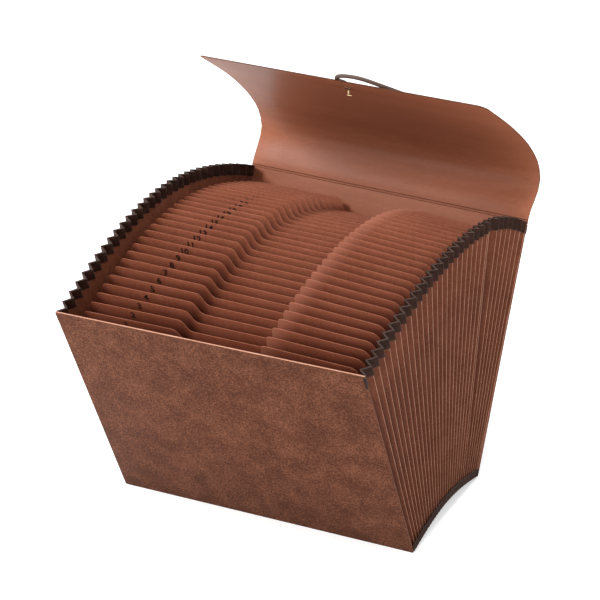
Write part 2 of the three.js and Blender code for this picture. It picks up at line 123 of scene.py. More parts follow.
# How much a face's normal has to point up, or into the folder, to count as facing that way
FACING_UP = 0.6
FACING_IN = 0.3

# How far the tops of a divider's two sides are below its datum, and how far down the painted shade in the
# pockets grows
SIDE_TOP_LEFT = 36 * MM
SIDE_TOP_RIGHT = 42 * MM
SIDE_BAND = 2 * MM
POCKET_DARK_DEPTH = 20 * MM
POCKET_SHADE = 0.85
POCKET_SHADE_COLOUR = (0.045, 0.010, 0.004)

# A divider's stepped top edge in millimetres, as in the part: across, and down from the datum
DIVIDER_WIDTH = 291.0
DIVIDER_DROP = 50.0
DIVIDER_STEPS = (
    (0, 36), (6.8, 14.3), (101.5, 13.8), (108.2, 26), (185.6, 26), (187.8, 10.3), (278.5, 14.6),
    (285.5, 27), (291, 42),
)
# Painted highlight on the near end of each divider's right shelf: where it starts, is full and ends across, in
# millimetres, then its strength and colour
SHELF_HIGHLIGHT_START = 186.0
SHELF_HIGHLIGHT_FULL = 187.0
SHELF_HIGHLIGHT_END = 206.0
SHELF_HIGHLIGHT = 0.45
SHELF_HIGHLIGHT_COLOUR = (0.62, 0.26, 0.17)

# Painted shade in the pleats' valleys, away from the outward creases: its strength, its reach across the fold
# map, and its colour
FOLD_SHADE = 0.72
FOLD_SHADE_REACH = 0.9
FOLD_SHADE_COLOUR = (0.040, 0.009, 0.004)

# The score's strip, point by point: the way from the score line (-1 is down the back cover and
# 1 is up the flap), then how far along and how proud, in millimetres
SCORE_SECTION = ((-1, 3.0, 0.0), (-1, 1.2, 0.2), (1, 0.2, 0.3), (1, 1.6, 0.2), (1, 3.4, 0.0))
SCORE_THICKNESS = 0.24 * MM


class Body(Enum):
    """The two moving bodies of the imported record."""

    CASE = "case"
    FLAP = "flap"


class Slot(Enum):
    """The record's material slots."""

    COVER = "cover_board"
    DIVIDER = "divider_card"
    PLEAT = "pleated_card"
    TAPE = "tape"
    ELASTIC = "elastic"
    BRASS = "brass"


@dataclass(frozen=True)
class BoardFinish:
    """A dyed board's look, from broad clouds of colour down to its embossed grain.

    The three scales and weights are those of clouds, mottling and grain. Scales are in cycles per
    metre, so that they keep their size on every piece. A finish with pocket shade gets painted shade
    below a divider's top edge, and a folded one gets painted shade towards its inward creases.
    """

    name: str
    dark: Colour
    middle: Colour
    light: Colour
    scales: Point
    weights: Point
    contrast: float
    roughness: float
    bump_height: float
    stretch: Point = (1.0, 1.0, 1.0)
    fades: bool = False
    folded: bool = False
    gloss: float = 0.16


@dataclass(frozen=True)
class ScoreEnd:
    """One end of the score line, and the ways down the back cover and up the flap from it."""

    place: Point
    below: Point
    above: Point


@dataclass(frozen=True)
class SoftBox:
    """A square studio light: where it hangs, what it points at, its side in metres and its watts."""

    name: str
    place: Point
    target: Point
    size: float
    power: float


@dataclass(frozen=True)
class CameraPose:
    """Where the photograph was taken from."""

    location: Point = (0.872102, -1.756496, 1.115860)
    azimuth: float = 0.46525
    elevation: float = 0.44137
    roll: float = -0.016607
    lens: float = 138.235

    def matrix(self) -> Matrix:
        """Builds the camera's world matrix.

        Returns:
            Matrix: rotation from the three angles, then the location.
        """
        flat = math.cos(self.elevation)
        east = -math.sin(self.azimuth) * flat
        ahead = Vector((east, math.cos(self.azimuth) * flat, -math.sin(self.elevation)))
        level = ahead.cross(Vector((0, 0, 1))).normalized()
        above = level.cross(ahead)
        right = math.cos(self.roll) * level + math.sin(self.roll) * above
        up = math.cos(self.roll) * above - math.sin(self.roll) * level
        rotation = Matrix((right, up, -ahead)).transposed().to_4x4()
        return Matrix.Translation(self.location) @ rotation


class NodeGraph:
    """A material's node tree with short calls for the nodes used here."""

    def __init__(self, name: str) -> None:
        """Starts an empty material.

        Args:
            name: the material's name.
        """
        self.material = bpy.data.materials.new(name)
        self.material.use_nodes = True
        self.tree = self.material.node_tree
        self.tree.nodes.clear()
        self.output = self.tree.nodes.new("ShaderNodeOutputMaterial")
        self.surface = self.tree.nodes.new("ShaderNodeBsdfPrincipled")
        self.join(self.surface.outputs["BSDF"], self.output.inputs["Surface"])

    def join(self, source: bpy.types.NodeSocket, target: bpy.types.NodeSocket) -> None:
        """Links two sockets.

        Args:
            source: the output.
            target: the input.
        """
        self.tree.links.new(source, target)

    def place(self, stretch: Point = (1.0, 1.0, 1.0)) -> bpy.types.NodeSocket:
        """Gives the object coordinates, stretched along its axes.

        Args:
            stretch: factor on each coordinate.

        Returns:
            NodeSocket: the coordinates.
        """
        coordinates = self.tree.nodes.new("ShaderNodeTexCoord")
        mapping = self.tree.nodes.new("ShaderNodeMapping")
        mapping.inputs["Scale"].default_value = stretch
        self.join(coordinates.outputs["Object"], mapping.inputs["Vector"])
        return mapping.outputs["Vector"]

    def layer(self, name: str) -> tuple[bpy.types.NodeSocket, bpy.types.NodeSocket]:
        """Reads a UV layer of the piece.

        Args:
            name: the layer's name.

        Returns:
            tuple: its two coordinates.
        """
        layer = self.tree.nodes.new("ShaderNodeUVMap")
        layer.uv_map = name
        split = self.tree.nodes.new("ShaderNodeSeparateXYZ")
        self.join(layer.outputs["UV"], split.inputs["Vector"])
        return split.outputs["X"], split.outputs["Y"]

    def noise(
        self, vector: bpy.types.NodeSocket, scale: float, detail: float = 3.0, rough: float = 0.55
    ) -> bpy.types.NodeSocket:
        """Adds fractal noise.

        Args:
            vector: coordinates.
            scale: cycles per metre.
            detail: octaves.
            rough: weight of the finer octaves.

        Returns:
            NodeSocket: values about 0.5.
        """
        node = self.tree.nodes.new("ShaderNodeTexNoise")
        node.inputs["Scale"].default_value = scale
        node.inputs["Detail"].default_value = detail
        node.inputs["Roughness"].default_value = rough
        self.join(vector, node.inputs["Vector"])
        return node.outputs["Fac"]

    def cells(self, vector: bpy.types.NodeSocket, scale: float) -> bpy.types.NodeSocket:
        """Adds the distance to the nearest cell centre.

        Args:
            vector: coordinates.
            scale: cells per metre.

        Returns:
            NodeSocket: distance in cells.
        """
        node = self.tree.nodes.new("ShaderNodeTexVoronoi")
        node.inputs["Scale"].default_value = scale
        self.join(vector, node.inputs["Vector"])
        return node.outputs["Distance"]

    def math(
        self, operation: str, first: object, second: object, third: object = None
    ) -> bpy.types.NodeSocket:
        """Adds arithmetic on sockets or numbers.

        Args:
            operation: Blender's name of it.
            first: a socket or number.
            second: a socket or number.
            third: a socket or number, for the operations that take one.

        Returns:
            NodeSocket: the value.
        """
        node = self.tree.nodes.new("ShaderNodeMath")
        node.operation = operation
        for socket, value in zip(node.inputs, (first, second, third)):
            if isinstance(value, bpy.types.NodeSocket):
                self.join(value, socket)
            elif value is not None:
                socket.default_value = value
        return node.outputs["Value"]

    def spread(self, value: bpy.types.NodeSocket, low: float, high: float) -> bpy.types.NodeSocket:
        """Stretches a range to 0..1 and clamps it.

        Args:
            value: the input.
            low: what becomes 0.
            high: what becomes 1.

        Returns:
            NodeSocket: the clamped value.
        """
        node = self.tree.nodes.new("ShaderNodeMapRange")
        node.inputs["From Min"].default_value = low
        node.inputs["From Max"].default_value = high
        self.join(value, node.inputs["Value"])
        return node.outputs["Result"]

    def ramp(
        self, value: bpy.types.NodeSocket, stops: Sequence[tuple[float, Colour]]
    ) -> bpy.types.NodeSocket:
        """Turns a value into a colour.

        Args:
            value: 0..1.
            stops: places and colours, in order.

        Returns:
            NodeSocket: the colour.
        """
        node = self.tree.nodes.new("ShaderNodeValToRGB")
        elements = node.color_ramp.elements
        while len(elements) < len(stops):
            elements.new(0.5)
        for element, (where, colour) in zip(elements, stops):
            element.position = where
            element.color = (*colour, 1.0)
        self.join(value, node.inputs["Fac"])
        return node.outputs["Color"]

    def mix(self, share: object, first: object, second: object) -> bpy.types.NodeSocket:
        """Mixes two colours.

        Args:
            share: of the second one, a socket or number.
            first: a socket or colour.
            second: a socket or colour.

        Returns:
            NodeSocket: the colour.
        """
        node = self.tree.nodes.new("ShaderNodeMix")
        node.data_type = "RGBA"
        for socket, value in ((node.inputs[0], share), (node.inputs[6], first), (node.inputs[7], second)):
            if isinstance(value, bpy.types.NodeSocket):
                self.join(value, socket)
            elif isinstance(value, (int, float)):
                socket.default_value = value
            else:
                socket.default_value = (*value, 1.0)
        return node.outputs[2]

    def bump(self, height: bpy.types.NodeSocket, metres: float) -> None:
        """Raises the surface by a height field.

        Args:
            height: 0..1.
            metres: height of 1.
        """
        node = self.tree.nodes.new("ShaderNodeBump")
        node.inputs["Distance"].default_value = metres
        node.inputs["Strength"].default_value = 1.0
        self.join(height, node.inputs["Height"])
        self.join(node.outputs["Normal"], self.surface.inputs["Normal"])


class Materials:
    """Every finish of the folder, made once."""

    def __init__(self) -> None:
        """Makes the materials."""
        self.cover = self.board(
            BoardFinish(
                "cover_board", (0.062, 0.016, 0.006), (0.118, 0.034, 0.014), (0.285, 0.108, 0.056),
                (45.0, 520.0, 1500.0), (0.16, 0.44, 0.40), 1.25, 0.62, 0.00030,
            )
        )
        self.lining = self.board(
            BoardFinish(
                "flap_lining", (0.270, 0.083, 0.038), (0.385, 0.130, 0.067), (0.500, 0.190, 0.106),
                (16.0, 120.0, 1300.0), (0.35, 0.35, 0.30), 0.45, 0.42, 0.00008,
                stretch=(0.12, 1.0, 1.0), gloss=0.26,
            )
        )
        self.divider = self.board(
            BoardFinish(
                "divider_card", (0.180, 0.047, 0.023), (0.320, 0.098, 0.052), (0.450, 0.160, 0.095),
                (18.0, 320.0, 1800.0), (0.25, 0.35, 0.40), 0.50, 0.66, 0.00006, fades=True,
            )
        )
        self.pleat = self.board(
            BoardFinish(
                "pleated_card", (0.080, 0.021, 0.009), (0.150, 0.042, 0.019), (0.230, 0.076, 0.040),
                (30.0, 300.0, 1600.0), (0.25, 0.35, 0.40), 0.7, 0.64, 0.00008, folded=True,
            )
        )
        # Pale colour of the pleats' outward creases: a painted highlight
        self.crease = self.board(
            BoardFinish(
                "crease_highlight", (0.42, 0.190, 0.110), (0.62, 0.320, 0.210), (0.78, 0.480, 0.350),
                (60.0, 500.0, 2400.0), (0.3, 0.4, 0.3), 0.8, 0.70, 0.00005,
            )
        )
        # Pale colour of upward faces and rounded edges: a painted highlight
        self.edge = self.board(
            BoardFinish(
                "edge_highlight", (0.34, 0.150, 0.095), (0.50, 0.250, 0.170), (0.64, 0.370, 0.275),
                (40.0, 700.0, 2400.0), (0.3, 0.4, 0.3), 0.8, 0.75, 0.00005,
            )
        )
        self.dark_edge = self.board(
            BoardFinish(
                "flap_edge", (0.040, 0.014, 0.008), (0.075, 0.028, 0.016), (0.130, 0.055, 0.034),
                (40.0, 600.0, 2400.0), (0.3, 0.4, 0.3), 0.8, 0.65, 0.00005,
            )
        )
        # Pale grey of the tape's rims and outward folds: a painted highlight
        self.tape_edge = self.board(
            BoardFinish(
                "tape_edge", (0.075, 0.055, 0.048), (0.140, 0.112, 0.102), (0.230, 0.195, 0.180),
                (60.0, 700.0, 2400.0), (0.3, 0.4, 0.3), 0.8, 0.80, 0.00005,
            )
        )
        self.tape = self.cloth_tape()
        self.elastic = self.braid()
        self.brass = self.metal()
        self.ink = self.printed_ink()

    def board(self, finish: BoardFinish) -> bpy.types.Material:
        """Makes a dyed, embossed board.

        Args:
            finish: its colours, scales and relief.

        Returns:
            Material: the board.
        """
        graph = NodeGraph(finish.name)
        where = graph.place(finish.stretch)
        cloud = graph.noise(where, finish.scales[0], 3.0, 0.6)
        mottle = graph.noise(where, finish.scales[1], 5.0, 0.72)
        grain = graph.noise(where, finish.scales[2], 3.0, 0.65)
        pores = graph.cells(where, finish.scales[2] * 0.5)
        share = finish.weights
        mixed = graph.math("MULTIPLY_ADD", mottle, share[1], graph.math("MULTIPLY", cloud, share[0]))
        mixed = graph.math("MULTIPLY_ADD", grain, share[2], mixed)
        spread = 0.11 / finish.contrast
        tone = graph.spread(mixed, 0.5 - spread, 0.5 + spread)
        colour = graph.ramp(tone, ((0.0, finish.dark), (0.5, finish.middle), (1.0, finish.light)))
        # Painted shade: the card gets darker further down in the pocket, below its top edge
        if finish.fades:
            colour = self.shade_pocket(graph, colour)
        # Painted shade in the pleats' valleys, away from the outward creases
        if finish.folded:
            inward = graph.spread(graph.layer("fold_map")[0], 0.0, FOLD_SHADE_REACH)
            colour = graph.mix(graph.math("MULTIPLY", inward, FOLD_SHADE), colour, FOLD_SHADE_COLOUR)
        graph.join(colour, graph.surface.inputs["Base Color"])
        shine = graph.math("MULTIPLY_ADD", mottle, 0.22, finish.roughness - 0.11)
        graph.join(shine, graph.surface.inputs["Roughness"])
        embossed = graph.math("MULTIPLY_ADD", grain, 0.45, mottle)
        relief = graph.math("MULTIPLY_ADD", pores, 0.35, embossed)
        graph.bump(relief, finish.bump_height)
        graph.surface.inputs["Specular IOR Level"].default_value = finish.gloss
        return graph.material

    def shade_pocket(self, graph: NodeGraph, colour: bpy.types.NodeSocket) -> bpy.types.NodeSocket:
        """Paints shade on a divider down in the pocket and a painted highlight on the near end of its right
        shelf.

        Args:
            graph: the card's graph.
            colour: the plain card's colour.

        Returns:
            NodeSocket: the colour.
        """
        across, depth = graph.layer("depth_map")
        outline = graph.tree.nodes.new("ShaderNodeFloatCurve")
        points = outline.mapping.curves[0].points
        while len(points) < len(DIVIDER_STEPS):
            points.new(0.5, 0.5)
        for point, (place, drop) in zip(points, DIVIDER_STEPS):
            point.location = (place / DIVIDER_WIDTH, drop / DIVIDER_DROP)
            point.handle_type = "VECTOR"
        outline.mapping.update()
        graph.join(across, outline.inputs["Value"])
        edge = graph.math("MULTIPLY", outline.outputs["Value"], DIVIDER_DROP * MM)
        # Painted shade: darker towards the shade colour the deeper the place lies below the stepped top edge
        deep = graph.spread(graph.math("SUBTRACT", depth, edge), 0.0, POCKET_DARK_DEPTH)
        colour = graph.mix(graph.math("MULTIPLY", deep, POCKET_SHADE), colour, POCKET_SHADE_COLOUR)
        # Painted highlight where the light falls on the near end of the right shelf
        start, full, end = (
            place / DIVIDER_WIDTH for place in (SHELF_HIGHLIGHT_START, SHELF_HIGHLIGHT_FULL, SHELF_HIGHLIGHT_END)
        )
        lit_patch = graph.math("MULTIPLY", graph.spread(across, end, start), graph.spread(across, start, full))
        return graph.mix(graph.math("MULTIPLY", lit_patch, SHELF_HIGHLIGHT), colour, SHELF_HIGHLIGHT_COLOUR)

    def cloth_tape(self) -> bpy.types.Material:
        """Makes the dark cloth tape, with its fine weave.

        Returns:
            Material: the tape.
        """
        graph = NodeGraph("cloth_tape")
        where = graph.place()
        wear = graph.noise(where, 130.0, 4.0, 0.6)
        weave = graph.noise(graph.place((1.0, 1.0, 0.35)), 2600.0, 1.0)
        colour = graph.ramp(
            graph.spread(wear, 0.3, 0.7),
            ((0.0, (0.015, 0.005, 0.003)), (0.5, (0.028, 0.010, 0.006)), (1.0, (0.055, 0.022, 0.014))),
        )
        graph.join(graph.mix(graph.math("MULTIPLY", weave, 0.3), colour, (0.070, 0.030, 0.020)),
                   graph.surface.inputs["Base Color"])
        graph.join(graph.math("MULTIPLY_ADD", wear, 0.3, 0.5), graph.surface.inputs["Roughness"])
        graph.bump(weave, 0.00010)
        graph.surface.inputs["Specular IOR Level"].default_value = 0.12
        return graph.material

    def braid(self) -> bpy.types.Material:
        """Makes the elastic cord's braided cover.

        Returns:
            Material: the braid.
        """
        graph = NodeGraph("elastic_braid")
        where = graph.place()
        threads = graph.cells(where, 1300.0)
        wear = graph.noise(where, 220.0, 3.0)
        colour = graph.ramp(
            graph.spread(threads, 0.0, 0.7), ((0.0, (0.16, 0.085, 0.06)), (1.0, (0.045, 0.022, 0.015)))
        )
        graph.join(graph.mix(graph.math("MULTIPLY", wear, 0.4), colour, (0.20, 0.12, 0.09)),
                   graph.surface.inputs["Base Color"])
        graph.join(graph.math("MULTIPLY_ADD", wear, 0.25, 0.5), graph.surface.inputs["Roughness"])
        graph.bump(graph.math("SUBTRACT", 1.0, threads), 0.00035)
        return graph.material

    def metal(self) -> bpy.types.Material:
        """Makes the pale brass of the eyelet and the cord's ends.

        Returns:
            Material: the brass.
        """
        graph = NodeGraph("pale_brass")
        where = graph.place()
        haze = graph.noise(where, 500.0, 4.0)
        scratches = graph.noise(graph.place((1.0, 6.0, 1.0)), 1800.0, 2.0)
        graph.join(graph.ramp(haze, ((0.2, (0.62, 0.44, 0.22)), (0.8, (0.86, 0.70, 0.44)))),
                   graph.surface.inputs["Base Color"])
        graph.join(graph.math("MULTIPLY_ADD", haze, 0.25, 0.15), graph.surface.inputs["Roughness"])
        graph.surface.inputs["Metallic"].default_value = 1.0
        graph.bump(scratches, 0.00002)
        return graph.material

    def printed_ink(self) -> bpy.types.Material:
        """Makes the black ink of the index numerals, thin where the card's grain is rough.

        Returns:
            Material: the ink.
        """
        graph = NodeGraph("index_ink")
        where = graph.place()
        gaps = graph.noise(where, 2200.0, 3.0)
        colour = graph.ramp(
            graph.spread(gaps, 0.35, 0.8), ((0.0, (0.010, 0.006, 0.005)), (1.0, (0.05, 0.02, 0.014)))
        )
        graph.join(colour, graph.surface.inputs["Base Color"])
        graph.join(graph.math("MULTIPLY_ADD", gaps, 0.3, 0.35), graph.surface.inputs["Roughness"])
        graph.bump(gaps, 0.00002)
        return graph.material


class Modeller:
    """Bench work shared by the pieces: selecting, copying and finishing meshes."""

    def alone(self, piece: bpy.types.Object) -> None:
        """Selects one object and makes it active.

        Args:
            piece: the object.
        """
        bpy.ops.object.select_all(action="DESELECT")
        piece.select_set(True)
        bpy.context.view_layer.objects.active = piece

    def name(self, piece: bpy.types.Object, name: str) -> None:
        """Names an object and its data alike.

        Args:
            piece: the object.
            name: its new name.
        """
        piece.name = name
        piece.data.name = name

    def apply_place(self, piece: bpy.types.Object) -> None:
        """Moves the object's place, turn and scale into its mesh.

        Args:
            piece: the object.
        """
        self.alone(piece)
        bpy.ops.object.transform_apply(location=True, rotation=True, scale=True)

    def smooth(self, piece: bpy.types.Object, degrees: float = 30.0) -> None:
        """Shades flat pieces crisply and bends softly.

        Args:
            piece: the object.
            degrees: the sharpest bend that is still shaded smooth.
        """
        self.alone(piece)
        bpy.ops.object.shade_smooth_by_angle(angle=math.radians(degrees))

    def modify(self, piece: bpy.types.Object, kind: str, **settings: object) -> None:
        """Adds a modifier and applies it.

        Args:
            piece: the object.
            kind: the modifier's type.
            **settings: its properties.
        """
        self.alone(piece)
        modifier = piece.modifiers.new(kind.lower(), kind)
        for key, value in settings.items():
            setattr(modifier, key, value)
        bpy.ops.object.modifier_apply(modifier=modifier.name)

    def twin(self, node: bpy.types.Object, name: str, bend: float = 3.0) -> bpy.types.Object:
        """Copies a CAD node as a new piece with its own mesh, welded and in quads.

        Args:
            node: the CAD node.
            name: the piece's name.
            bend: the largest twist of a quad, in degrees.

        Returns:
            Object: the piece, unparented and without materials.
        """
        piece = bpy.data.objects.new(name, node.data.copy())
        piece.data.name = name
        bpy.context.collection.objects.link(piece)
        piece.data.materials.clear()
        self.alone(piece)
        bpy.ops.object.mode_set(mode="EDIT")
        bpy.ops.mesh.select_all(action="SELECT")
        bpy.ops.mesh.remove_doubles(threshold=WELD_DISTANCE)
        bpy.ops.mesh.tris_convert_to_quads(
            face_threshold=math.radians(bend), shape_threshold=math.radians(60)
        )
        bpy.ops.mesh.normals_make_consistent(inside=False)
        bpy.ops.object.mode_set(mode="OBJECT")
        return piece


class Folder:
    """The folder's visible pieces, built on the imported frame."""

    CORD_ROUTE: tuple[Point, ...] = (
        (-0.0051, 0.0942, 0.3679), (-0.0049, 0.0961, 0.3707), (-0.0051, 0.0958, 0.3728),
        (-0.0064, 0.0929, 0.3749), (-0.0074, 0.0875, 0.3775), (-0.0077, 0.0823, 0.3805),
        (-0.0065, 0.0765, 0.3844), (-0.0018, 0.0696, 0.3889), (0.0069, 0.0641, 0.3923),
        (0.0180, 0.0613, 0.3937), (0.0265, 0.0624, 0.3926), (0.0343, 0.0671, 0.3890),
        (0.0413, 0.0734, 0.3844), (0.0488, 0.0795, 0.3799), (0.0582, 0.0883, 0.3737),
        (0.0726, 0.1062, 0.3612), (0.0832, 0.1274, 0.3458), (0.0861, 0.1515, 0.3268),
        (0.0746, 0.1721, 0.3077), (0.0493, 0.1817, 0.2978), (0.0200, 0.1800, 0.3014),
        (-0.0020, 0.1670, 0.3166), (-0.0107, 0.1447, 0.3366), (-0.0084, 0.1222, 0.3537),
        (-0.0030, 0.1073, 0.3643), (-0.0016, 0.1010, 0.3694), (-0.0015, 0.0979, 0.3713),
        (-0.0016, 0.0959, 0.3707), (-0.0018, 0.0940, 0.3679),
    )
    CORD_DIAMETER = 3.8 * MM
    EYELET: Point = (-0.003377, 0.094593, 0.368654)
    INSIDE_OF_CURL: Point = (0.0, 0.05, 0.30)
    INSIDE_OF_BACK: Point = (0.0, -0.2, 0.2)
    SCORE_ENDS: tuple[ScoreEnd, ...] = (
        ScoreEnd((-0.14932, 0.17507, 0.23787), (0.02, -0.36, -0.93), (0.03, 0.50, 0.865)),
        ScoreEnd((0.15567, 0.16330, 0.23332), (0.02, -0.39, -0.92), (0.03, 0.37, 0.93)),
    )

    def __init__(self, frame: dict, materials: Materials) -> None:
        """Keeps the frame and the finishes.

        Args:
            materials: the finishes.
        """
        self.nodes: dict[str, bpy.types.Object] = frame["nodes"]
        self.materials = materials
        self.bench = Modeller()

    def paint(self, piece: bpy.types.Object, *finishes: bpy.types.Material) -> None:
        """Gives an object its materials, in slot order.

        Args:
            piece: the object.
            *finishes: the materials.
        """
        piece.data.materials.clear()
        for finish in finishes:
            piece.data.materials.append(finish)

    def cord(self) -> None:
        """Makes the elastic closing cord, looped over the flap's outside and free edge."""
        curve = bpy.data.curves.new("elastic_closing_cord", "CURVE")
        curve.dimensions = "3D"
        curve.bevel_depth = self.CORD_DIAMETER / 2
        curve.bevel_resolution = 4
        curve.resolution_u = 8
        curve.use_fill_caps = True
        spline = curve.splines.new("NURBS")
        spline.points.add(len(self.CORD_ROUTE) - 1)
        for knot, place in zip(spline.points, self.CORD_ROUTE):
            knot.co = (*place, 1.0)
            knot.radius = CORD_SQUEEZE if math.dist(place, self.EYELET) < CORD_FREE else 1.0
        spline.use_endpoint_u = True
        spline.order_u = 3
        piece = bpy.data.objects.new("elastic_closing_cord", curve)
        bpy.context.collection.objects.link(piece)
        curve.materials.append(self.materials.elastic)
        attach(piece, Body.FLAP.value)
        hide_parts("elastic_cord")

    def declare(self, piece: bpy.types.Object, body: Body, slot: Slot, *nodes: str) -> None:
        """Attaches a piece to what it rides on and hides the CAD nodes it replaces.

        Args:
            piece: the piece.
            body: what it rides on.
            slot: not used.
            *nodes: the CAD nodes it replaces.
        """
        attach(piece, body.value)
        if nodes:
            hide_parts(*nodes)

    def ease(self, piece: bpy.types.Object, width: float, material: int, degrees: float = 50.0) -> None:
        """Rounds a piece's sharp edges.

        Args:
            piece: the piece.
            width: width of the rounding.
            material: slot of the rounded strip.
            degrees: the smallest bend that counts as an edge.
        """
        self.bench.modify(
            piece, "BEVEL", width=width, segments=2, limit_method="ANGLE", angle_limit=math.radians(degrees),
            material=material,
        )

    def cover(self) -> None:
        """Makes the front cover: mottled board with a painted highlight on its top and rounded edges."""
        piece = self.bench.twin(self.nodes["front_cover"], "front_cover_board")
        self.paint(piece, self.materials.cover, self.materials.edge)
        # The upward faces and the rounded edges get the painted highlight
        for face in piece.data.polygons:
            face.material_index = 1 if face.normal.z > FACING_UP else 0
        self.ease(piece, COVER_EDGE, 1)
        self.bench.smooth(piece)
        self.declare(piece, Body.CASE, Slot.COVER, "front_cover")

    def two_sided(self, node: str, name: str, body: Body, inside: Point) -> None:
        """Makes a board that is lined on one side and mottled on the other.

        Args:
            node: the CAD node.
            name: the piece's name.
            body: what it rides on.
            inside: a point on the lined side.
        """
        piece = self.bench.twin(self.nodes[node], name)
        self.paint(piece, self.materials.lining, self.materials.dark_edge, self.materials.cover)
        target = Vector(inside)
        for face in piece.data.polygons:
            towards = Vector((face.center.x, target.y, target.z)) - face.center
            face.material_index = 0 if face.normal.dot(towards) > 0 else 2
        self.ease(piece, BOARD_EDGE, 1)
        self.bench.smooth(piece, 40.0)
        self.declare(piece, body, Slot.COVER, node)

    def score(self) -> None:
        """Makes the bent strip that the flap turns on, along the score line: lined inside."""
        ends = [(Vector(end.place), Vector(end.below), Vector(end.above)) for end in self.SCORE_ENDS]
        across = (ends[1][0] - ends[0][0]).normalized()
        inside = Vector(self.INSIDE_OF_CURL)
        points = []
        for place, below, above in ends:
            proud = above.cross(across).normalized()
            if proud.dot(inside - place) < 0:
                proud.negate()
            for way, distance, lift in SCORE_SECTION:
                along = below if way < 0 else above
                points.append(place + (along * distance + proud * lift) * MM)
        mesh = bpy.data.meshes.new("score_strip")
        count = len(points) // 2
        faces = [(i, i + 1, count + i + 1, count + i) for i in range(count - 1)]
        mesh.from_pydata(points, [], faces)
        piece = bpy.data.objects.new("score_strip", mesh)
        bpy.context.collection.objects.link(piece)
        self.paint(piece, self.materials.lining, self.materials.cover)
        self.bench.modify(piece, "SOLIDIFY", thickness=SCORE_THICKNESS, offset=0.0)
        for face in piece.data.polygons:
            face.material_index = 0 if face.normal.dot(inside - face.center) > 0 else 1
        self.bench.smooth(piece, 60.0)
        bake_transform(piece)

    def divider(self, index: int) -> None:
        """Makes one divider: reddish card with painted highlights on its edges and painted shade down in the
        pocket.

        Args:
            index: its number.
        """
        node = f"divider_{index:02d}"
        piece = self.bench.twin(self.nodes[node], f"{node}_card")
        self.paint(piece, self.materials.divider, self.materials.edge)
        # The rounded edges get the painted highlight
        self.ease(piece, CARD_EDGE, 1)
        self.map_depth(piece)
        self.bench.smooth(piece)
        self.declare(piece, Body.CASE, Slot.DIVIDER, node)

    def map_depth(self, piece: bpy.types.Object) -> None:
        """Lays a UV layer of the share across and the depth below the divider's datum, in metres.

        Args:
            piece: a divider.
        """
        places = [vertex.co for vertex in piece.data.vertices]
        low = min(place.x for place in places)
        high = max(place.x for place in places)
        left = [place for place in places if place.x < low + SIDE_BAND]
        right = [place for place in places if place.x > high - SIDE_BAND]
        left_top = max(left, key=lambda place: place.z)
        left_bottom = min(left, key=lambda place: place.z)
        right_top = max(right, key=lambda place: place.z)
        down = (left_bottom - left_top).normalized()
        tilt = SIDE_TOP_RIGHT - SIDE_TOP_LEFT - (right_top - left_top).dot(down)
        layer = piece.data.uv_layers.new(name="depth_map")
        for loop in piece.data.loops:
            place = places[loop.vertex_index]
            across = (place.x - low) / (high - low)
            depth = SIDE_TOP_LEFT + (place - left_top).dot(down) + tilt * across
            layer.data[loop.index].uv = (across, depth)

    def gusset(self, side: str) -> None:
        """Makes one pleated side, its creases rounded, with a painted highlight where they stand out.

        Args:
            side: left or right.
        """
        node = f"gusset_{side}"
        piece = self.bench.twin(self.nodes[node], f"pleats_{side}", FOLDED_TWIST)
        self.paint(piece, self.materials.pleat, self.materials.crease)
        # The rounded outward creases get the painted highlight
        self.round_creases(piece, PLEAT_CREASE)
        self.map_folds(piece)
        self.bench.smooth(piece, 35.0)
        self.declare(piece, Body.CASE, Slot.PLEAT, node)

    def map_folds(self, piece: bpy.types.Object) -> None:
        """Lays a UV layer, 0 at the rounded creases and 1 elsewhere, for the painted fold shade.

        The rounded creases that face into the folder lose their painted highlight.

        Args:
            piece: a folded sheet with rounded creases.
        """
        rounded = [face for face in piece.data.polygons if face.material_index == 1]
        crests = {index for face in rounded for index in face.vertices}
        layer = piece.data.uv_layers.new(name="fold_map")
        for loop in piece.data.loops:
            layer.data[loop.index].uv = (0.0 if loop.vertex_index in crests else 1.0, 0.0)
        inward = -1.0 if piece.name.endswith("right") else 1.0
        for face in piece.data.polygons:
            if face.material_index == 1 and face.normal.x * inward > FACING_IN:
                face.material_index = 0

    def round_creases(self, piece: bpy.types.Object, width: float) -> None:
        """Bevels only the creases that stand out of the surface.

        Args:
            piece: a folded sheet.
            width: width of the crease on each side.
        """
        self.bench.alone(piece)
        bpy.ops.object.mode_set(mode="EDIT")
        bpy.ops.mesh.select_mode(type="EDGE")
        bpy.ops.mesh.select_all(action="DESELECT")
        mesh = bmesh.from_edit_mesh(piece.data)
        for edge in mesh.edges:
            if len(edge.link_faces) == 2 and edge.calc_face_angle_signed() > OUTWARD_CREASE:
                edge.select_set(True)
        bmesh.update_edit_mesh(piece.data)
        bpy.ops.mesh.bevel(offset=width, segments=2, affect="EDGES", material=1)
        bpy.ops.object.mode_set(mode="OBJECT")

    def tape(self, node: str) -> None:
        """Makes a strip of cloth tape, with a painted highlight along its rims and outward folds.

        Args:
            node: the CAD node.
        """
        piece = self.bench.twin(self.nodes[node], f"{node}_cloth", FOLDED_TWIST)
        self.paint(piece, self.materials.tape, self.materials.tape_edge)
        # The rounded rims and outward folds get the painted highlight
        self.round_creases(piece, TAPE_CREASE)
        self.bench.smooth(piece, 35.0)
        self.declare(piece, Body.CASE, Slot.TAPE, node)

